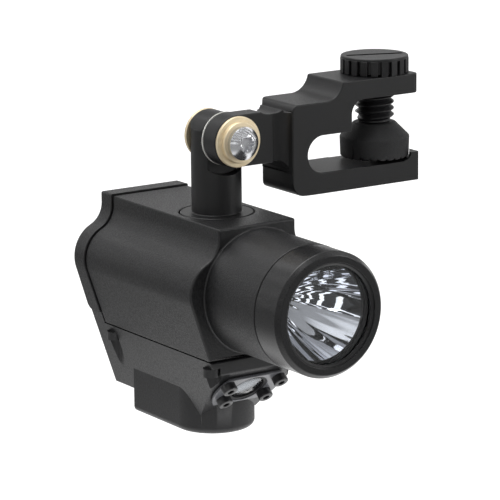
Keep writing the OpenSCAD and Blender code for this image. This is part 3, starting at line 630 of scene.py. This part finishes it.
knob = {"radius": 8.25, "foot": 0.3, "core": 7.45, "coreTop": 3.3, "disc": 8.17, "discFoot": 3.45,
        "height": 4.2, "bore": 3.6, "boreTop": 2.7, "ribs": 20,
        "ribWidth": 1.71, "ribDepth": 1.2, "ribHeight": 3.6, "ribRound": 0.16, "slot": (14, 1.5, 1.1),
        "slotTurn": -21}


def makeKnob():
    low, high = boxOf("clamp_knob")
    foot = Vector(((low.x + high.x) / 2, (low.y + high.y) / 2, low.z))
    points = [(knob["bore"], knob["foot"]), (knob["core"], knob["foot"]), (knob["core"], knob["coreTop"]),
              (knob["disc"], knob["discFoot"]), (knob["disc"], knob["height"]), (0, knob["height"]),
              (0, knob["boreTop"]),
              (knob["bore"], knob["boreTop"])]
    core = lathe("clampKnob", roundCorners(points, [0, 0.1, 0, 0.1, 0.3, 0, 0, 0]), foot, (0, 0, 1), 120)
    slotShape = bmesh.new()
    bmesh.ops.create_cube(slotShape, size=1)
    length, width, depth = knob["slot"]
    sized = Matrix.Diagonal((length, width, 2 * depth, 1))
    turned = Matrix.Rotation(math.radians(knob["slotTurn"]), 4, "Z")
    raised = Matrix.Translation(foot + Vector((0, 0, knob["height"])))
    bmesh.ops.transform(slotShape, matrix=toFrame @ raised @ turned @ sized, verts=slotShape.verts)
    mesh = bpy.data.meshes.new("slotCutter")
    slotShape.to_mesh(mesh)
    cutter = addPiece("slotCutter", mesh)
    cut = core.modifiers.new("slot", "BOOLEAN")
    cut.object = cutter
    cut.solver = "EXACT"
    settle(core)

    ribShape = bmesh.new()
    bmesh.ops.create_cube(ribShape, size=1)
    sized = Matrix.Diagonal((knob["ribDepth"], knob["ribWidth"], knob["ribHeight"], 1))
    middle = Matrix.Translation((-knob["ribDepth"] / 2, 0, knob["ribHeight"] / 2))
    bmesh.ops.transform(ribShape, matrix=Matrix.Scale(mm, 4) @ middle @ sized, verts=ribShape.verts)
    bmesh.ops.bevel(ribShape, geom=ribShape.edges, offset=knob["ribRound"] * mm, segments=3, profile=0.5,
                    affect="EDGES")
    mesh = bpy.data.meshes.new("knobRib")
    ribShape.to_mesh(mesh)
    rib = addPiece("knobRib", mesh)
    applyTree(core, ribTree(finishes["satinCoatedCastBlack"]), {
        "Rib": rib, "Count": knob["ribs"], "Radius": knob["radius"] * mm, "Centre": deck + foot * mm})
    for helper in (cutter, rib):
        bpy.data.objects.remove(helper)
    finish(core, "clamp_screw", "satinCoatedCastBlack", ["clamp_knob"])


makeKnob()

screw = {"ball": 3.2, "ballArc": 0.77, "ballSteps": 14, "ballZ": 14, "neck": 2.1, "root": 3.794,
         "rootFoot": 18.0, "outer": 4.7625, "pitch": 1.5875, "turns": 6.6,
         "startZ": 17.71, "startAngle": 100, "shaft": 3.6, "shaftTop": 32.6, "jawTop": 29.9, "neckTop": 17.4}


def makeScrew():
    axis = middleOf("clamp_screw")
    ball = []
    for k in range(screw["ballSteps"] + 1):
        swing = math.pi * (k / screw["ballSteps"]) * screw["ballArc"]
        ball.append((screw["ball"] * math.sin(swing), screw["ballZ"] - screw["ball"] * math.cos(swing)))
    points = ball + [(screw["neck"], screw["neckTop"]), (screw["root"], screw["rootFoot"]),
                     (screw["root"], screw["jawTop"]), (screw["shaft"], screw["jawTop"]),
                     (screw["shaft"], screw["shaftTop"]), (0, screw["shaftTop"])]
    body = lathe("clampScrew", points, Vector((axis.x, axis.y, 0)), (0, 0, 1), 96)
    applyTree(body, threadTree(finishes["blackOxideSteel"]), {
        "Turns": screw["turns"], "Pitch": screw["pitch"] * mm, "Root": screw["root"] * mm,
        "Depth": (screw["outer"] - screw["root"]) * mm, "Start Angle": math.radians(screw["startAngle"]),
        "Start": deck + Vector((axis.x, axis.y, screw["startZ"])) * mm})
    finish(body, "clamp_screw", "blackOxideSteel", ["clamp_screw"], 40)


makeScrew()


pad = {"rimFrom": 7.9, "rimRise": 3, "rimEdge": 0.25, "topEdge": 0.2}


def padEdges(place, direction):
    low, high = boxOf("clamp_pad")
    middle = (low + high) / 2
    fromMiddle = math.hypot(place.x - middle.x, place.y - middle.y)
    if fromMiddle > pad["rimFrom"] and place.z > low.z + pad["rimRise"]:
        return pad["rimEdge"]
    return pad["topEdge"] if place.z > high.z - 0.05 else 0.0


piece = roundedCopy("clamp_pad", "clampPad", padEdges)
finish(piece, "pad", "mouldedRubberBlack", ["clamp_pad"])

tilt = {"height": 18.2, "washerFace": -9.07, "washer": 6.05, "rimHeight": 0.85, "boss": 4.9, "bossHeight": 1.95,
        "rearFace": 3.57, "rearHeight": 0.95, "shank": 2.0, "shankEnd": 7.4, "head": 3.95,
        "domeRadius": 5.14, "domeDrop": 2.19, "flat": 2.0, "drive": (1.62, 0.26), "driveFloor": 1.3}


def makeTilt():
    face = Vector((0, tilt["washerFace"], tilt["height"]))
    hole, rim, boss = tilt["shank"], tilt["washer"], tilt["boss"]
    points = [(hole, 0.02), (rim, 0.02), (rim, tilt["rimHeight"]), (boss, tilt["rimHeight"]),
              (boss, tilt["bossHeight"]), (hole, tilt["bossHeight"])]
    washer = lathe("frontWasher", roundCorners(points, [0, 0.1, 0.24, 0.15, 0.3, 0]), face, (0, -1, 0), 120)
    finish(washer, "bracket", "turnedBrass", ["tilt_front_washer"])
    points = [(hole, 0.03), (rim, 0.03), (rim, tilt["rearHeight"]), (hole, tilt["rearHeight"])]
    washer = lathe("rearWasher", roundCorners(points, [0, 0.1, 0.24, 0]),
                   Vector((0, tilt["rearFace"], tilt["height"])), (0, 1, 0), 120)
    finish(washer, "bracket", "turnedBrass", ["tilt_rear_washer"])

    base = face - Vector((0, tilt["bossHeight"], 0))
    end = -(tilt["shankEnd"] - base.y)
    domeSteps = 8
    dome = []
    for k in range(domeSteps + 1):
        radius = tilt["head"] + (tilt["flat"] - tilt["head"]) * k / domeSteps
        dome.append((radius, math.sqrt(tilt["domeRadius"] ** 2 - radius ** 2) - tilt["domeDrop"]))
    reach, wave = tilt["drive"]
    top = dome[-1][1]
    points = [(0, end), (hole, end), (hole, 0), (tilt["head"], 0)] + dome + [
        (reach + 0.08, top + 0.02, wave), (reach, top - 0.08, wave), (reach - 0.04, tilt["driveFloor"], wave),
        (0, tilt["driveFloor"] - 0.25)]
    head = lathe("tiltScrew", points, base, (0, -1, 0), 120, closed=False)
    finish(head, "bracket", "tumbledStainless", ["tilt_screw"], 30)


makeTilt()
print("clamp and post done")

# ---------- lamp head ----------
lamp = {"axisZ": -16, "radius": 14.8, "back": 37.8, "rim": 46.9, "window": 11.5, "seat": 13.92, "seatEnd": 43.4,
        "lensSeat": 12.7, "lip": 46.0, "focus": 1.8, "bowlBase": 24.7, "bowlStart": 1.3, "bowlDepth": 17.6,
        "bowlSteps": 56, "bowlLip": 12.55, "bowlLipDepth": 0.6, "bowlWall": (0.85, 0.45)}


def makeLamp():
    axis = Vector((0, 0, lamp["axisZ"]))
    edge, rim, window = lamp["radius"], lamp["rim"], lamp["window"]
    points = [(edge, lamp["back"]), (edge, rim - 1.1), (edge - 0.9, rim), (window + 0.8, rim),
              (window + 0.8, rim - 0.35), (window + 0.55, rim - 0.35), (window, lamp["lip"] + 0.2),
              (window, lamp["lip"]), (lamp["lensSeat"], lamp["lip"]), (lamp["lensSeat"], lamp["seatEnd"]),
              (lamp["seat"], lamp["seatEnd"]), (lamp["seat"], lamp["back"])]
    rounding = [0.18, 0.45, 0.45, 0.12, 0.05, 0.05, 0.05, 0.05, 0, 0, 0, 0]
    ring = lathe("bezelRing", roundCorners(points, rounding), axis, (0, -1, 0), 180)
    finish(ring, "light", "anodisedSatinBlack", ["bezel"])

    bowl = []
    for k in range(lamp["bowlSteps"] + 1):
        deep = lamp["bowlStart"] + (lamp["bowlDepth"] - lamp["bowlStart"]) * (k / lamp["bowlSteps"]) ** 2
        bowl.append((2 * math.sqrt(lamp["focus"] * deep), lamp["bowlBase"] + deep))
    mouth = lamp["bowlBase"] + lamp["bowlDepth"]
    outward, behind = lamp["bowlWall"]
    back = [(radius + outward, height - behind) for radius, height in bowl[::-4]]
    points = bowl + [(lamp["bowlLip"], mouth), (lamp["bowlLip"], mouth - lamp["bowlLipDepth"])] + back
    mirror = lathe("reflectorBowl", points, axis, (0, -1, 0), 180)
    finish(mirror, "light", "vapourAluminiumMirror", ["reflector"], 40)


makeLamp()
print("lamp head done")

# ---------- flood lamp and buttons ----------
flood = {"normal": (0, -0.70711, -0.70711), "head": 1.8, "headHeight": 1.85, "shank": 0.95, "shankEnd": 4.9,
         "socket": (0.8, 0.05), "socketDepth": 1.25}
piece = roundedCopy("flood_plate", "floodPlate", lambda place, direction: 0.14, steps=2)
finish(piece, "light", "satinLacquerGrey", ["flood_plate"])


def makeFloodScrews():
    normal = Vector(flood["normal"])
    tips = []
    for corners in islands("flood_screws"):
        low = Vector([min(c[i] for c in corners) for i in range(3)])
        high = Vector([max(c[i] for c in corners) for i in range(3)])
        middle = (low + high) / 2
        tips.append(middle + normal * (max(c.dot(normal) for c in corners) - middle.dot(normal)))
    head, depth = flood["head"], flood["headHeight"]
    hole, wave = flood["socket"]
    points = [(0, -depth - flood["shankEnd"]), (flood["shank"], -depth - flood["shankEnd"]),
              (flood["shank"], -depth), (head, -depth), (head, -0.3), (head - 0.1, -0.1), (head - 0.3, 0),
              (hole + 0.15, 0, wave), (hole, -0.12, wave), (hole, -flood["socketDepth"], wave),
              (0, -flood["socketDepth"] - 0.2)]
    pattern = lathe("floodScrewPattern", points, Vector((0, 0, 0)), flood["normal"], 48, closed=False)
    pattern.data.transform(Matrix.Translation(-deck))
    mesh = bpy.data.meshes.new("floodScrews")
    mesh.from_pydata([deck + tip * mm for tip in tips], [], [])
    screws = addPiece("floodScrews", mesh)
    applyTree(screws, placesTree(finishes["blackOxideSteel"]), {"Part": pattern})
    bpy.data.objects.remove(pattern)
    finish(screws, "light", "blackOxideSteel", ["flood_screws"])


makeFloodScrews()
for node, name, body in (("spot_button", "spotButton", "spot_button"),
                         ("flood_button", "floodButton", "flood_button")):
    piece = roundedCopy(node, name, lambda place, direction: 0.12, steps=2)
    finish(piece, body, "mouldedRubberBlack", [node])
print("flood lamp and buttons done")

# ---------- the rest of the CAD nodes keep their shape ----------
kept = {
    "blackOxideSteel": ["case_screws", "cover_screw"],
    "mouldedRubberBlack": ["housing_gasket", "cover_gasket", "bezel_oring", "lens_seal", "flood_seal",
                           "flood_gasket"],
    "turnedBrass": ["cover_insert"],
    "tumbledStainless": ["tilt_nut", "cover_pin", "swivel_clip", "swivel_washer", "rear_contacts", "rear_springs",
                         "front_contacts", "front_spring"],
    "nylonNatural": ["tilt_friction_washer"],
    "clearPolycarbonate": ["lens"],
    "frostedPolycarbonate": ["flood_lens"],
    "shrinkSleeveSlate": ["cell_left", "cell_middle", "cell_right"],
    "solderMaskGreen": ["driver_board", "switch_board"],
    "solderMaskWhite": ["led_board"],
    "solderMaskGrey": ["flood_board"],
    "mouldedEpoxyBlack": ["driver_parts", "tact_switches"],
    "phosphorYellow": ["led_emitter", "flood_leds"],
    "wireSleeveRed": ["led_leads", "flood_leads"],
    "wireSleeveBlack": ["battery_leads"],
    "turnedAluminium": ["heat_sink"],
}
for finishName, nodes in kept.items():
    for node in nodes:
        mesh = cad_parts[node].data
        mesh.materials.clear()
        mesh.materials.append(finishes[finishName])
print("kept nodes finished")

# ---------- studio ----------
studio = {"floorDrop": 45, "floorSize": 12, "floorColour": "#808080", "floorSeen": 1.0, "poolGlow": 1.5,
          "farGlow": 0.13, "poolFrom": 70, "poolTo": 230, "behind": (0.55, 0.81, 0.2), "roomDark": 0.04,
          "roomBright": 0.32, "roomSeen": 0.93, "stripGlow": 1.7,
          "stripFrom": 0.76, "stripTo": 0.82, "stripScale": 1.6}


def seenOr(tree, seen, other):
    # one strength for what the camera sees directly, another for the light it gives
    path = addNode(tree, "ShaderNodeLightPath")
    mix = addNode(tree, "ShaderNodeMix", settings={"data_type": "FLOAT"}, values={3: seen},
                  links={0: path.outputs["Is Camera Ray"]})
    if isinstance(other, float):
        mix.inputs[2].default_value = other
    else:
        tree.links.new(other, mix.inputs[2])
    return mix.outputs[0]


def makeRoom(scene):
    # a pale sweep behind the light and a darker room behind the camera
    world = bpy.data.worlds.new("studioRoom")
    scene.world = world
    world.use_nodes = True
    tree = world.node_tree
    tree.nodes.clear()
    direction = addNode(tree, "ShaderNodeTexCoord").outputs["Generated"]
    towards = addNode(tree, "ShaderNodeVectorMath", settings={"operation": "DOT_PRODUCT"},
                      values={1: studio["behind"]}, links={0: direction})
    sweep = addNode(tree, "ShaderNodeMapRange", settings={"interpolation_type": "SMOOTHSTEP"},
                    values={"From Min": 0.0, "From Max": 0.8, "To Min": studio["roomDark"],
                            "To Max": studio["roomBright"]}, links={"Value": towards.outputs["Value"]})
    strips = addNode(tree, "ShaderNodeTexWave", settings={"wave_type": "BANDS", "bands_direction": "DIAGONAL"},
                     values={"Scale": studio["stripScale"], "Distortion": 2.5, "Detail": 2.0},
                     links={"Vector": direction})
    boxes = addNode(tree, "ShaderNodeMapRange",
                    values={"From Min": studio["stripFrom"], "From Max": studio["stripTo"],
                            "To Max": studio["stripGlow"]},
                    links={"Value": strips.outputs["Fac"]})
    light = maths(tree, "ADD", sweep.outputs["Result"], boxes.outputs["Result"])
    glow = addNode(tree, "ShaderNodeBackground", values={"Color": fromHex("#ffffff")},
                   links={"Strength": seenOr(tree, studio["roomSeen"], light)})
    addNode(tree, "ShaderNodeOutputWorld", links={"Surface": glow.outputs["Background"]})


def makeStudio():
    scene = bpy.context.scene
    scene.view_settings.view_transform = "Standard"
    makeRoom(scene)
    material, tree, shader, place = startMaterial("paintedPaperWhite", {
        "Base Color": fromHex(studio["floorColour"]), "Roughness": 0.9, "Emission Color": fromHex("#ffffff")})
    away = addNode(tree, "ShaderNodeVectorMath", settings={"operation": "LENGTH"}, links={0: place})
    pool = addNode(tree, "ShaderNodeMapRange", settings={"interpolation_type": "SMOOTHSTEP"},
                   values={"From Min": studio["poolFrom"] * mm, "From Max": studio["poolTo"] * mm,
                           "To Min": studio["poolGlow"], "To Max": studio["farGlow"]},
                   links={"Value": away.outputs["Value"]})
    glow = seenOr(tree, studio["floorSeen"], pool.outputs["Result"])
    tree.links.new(glow, shader.inputs["Emission Strength"])
    half = studio["floorSize"] / 2
    low = cadBounds[0][2] - studio["floorDrop"] * mm
    mesh = bpy.data.meshes.new("studioFloor")
    mesh.from_pydata([(-half, -half, low), (half, -half, low), (half, half, low), (-half, half, low)], [],
                     [(0, 1, 2, 3)])
    mesh.materials.append(material)
    floor = addPiece("studioFloor", mesh)

    lamps = {
        "overheadBox": {"from": (-100, 100, 700), "size": (600, 500), "watts": 4},
        "leftStrip": {"from": (-700, 250, 250), "size": (60, 500), "watts": 0.25},
        "frontStrip": {"from": (500, -500, 150), "size": (80, 300), "watts": 0.8},
    }
    for name, source in lamps.items():
        data = bpy.data.lights.new(name, "AREA")
        data.shape = "RECTANGLE"
        data.size = source["size"][0] * mm
        data.size_y = source["size"][1] * mm
        data.energy = source["watts"]
        light = addPiece(name, data)
        spot = Vector(source["from"])
        light.location = deck + spot * mm
        light.rotation_euler = (-spot).to_track_quat("-Z", "Y").to_euler()


makeStudio()

view = {"azimuth": -33.703, "elevation": 13.014, "roll": -0.535, "lens": 224.1, "distance": 738.76,
        "right": 7.80, "up": -9.30}


def makeCamera():
    turn, rise, roll = (math.radians(view[k]) for k in ("azimuth", "elevation", "roll"))
    right = Vector((math.cos(turn), math.sin(turn), 0))
    back = Vector((math.sin(turn) * math.cos(rise), -math.cos(turn) * math.cos(rise), math.sin(rise)))
    up = back.cross(right)
    place = right * view["right"] + up * view["up"] + back * view["distance"]
    side = right * math.cos(roll) + up * math.sin(roll)
    over = up * math.cos(roll) - right * math.sin(roll)
    data = bpy.data.cameras.new("photoCamera")
    data.lens = view["lens"]
    data.sensor_width = 36
    data.clip_end = 50
    camera = addPiece("photoCamera", data)
    pose = Matrix((side, over, back)).transposed().to_4x4()
    pose.translation = deck + place * mm
    camera.matrix_world = pose
    bpy.context.scene.camera = camera


makeCamera()
print("studio and camera set")
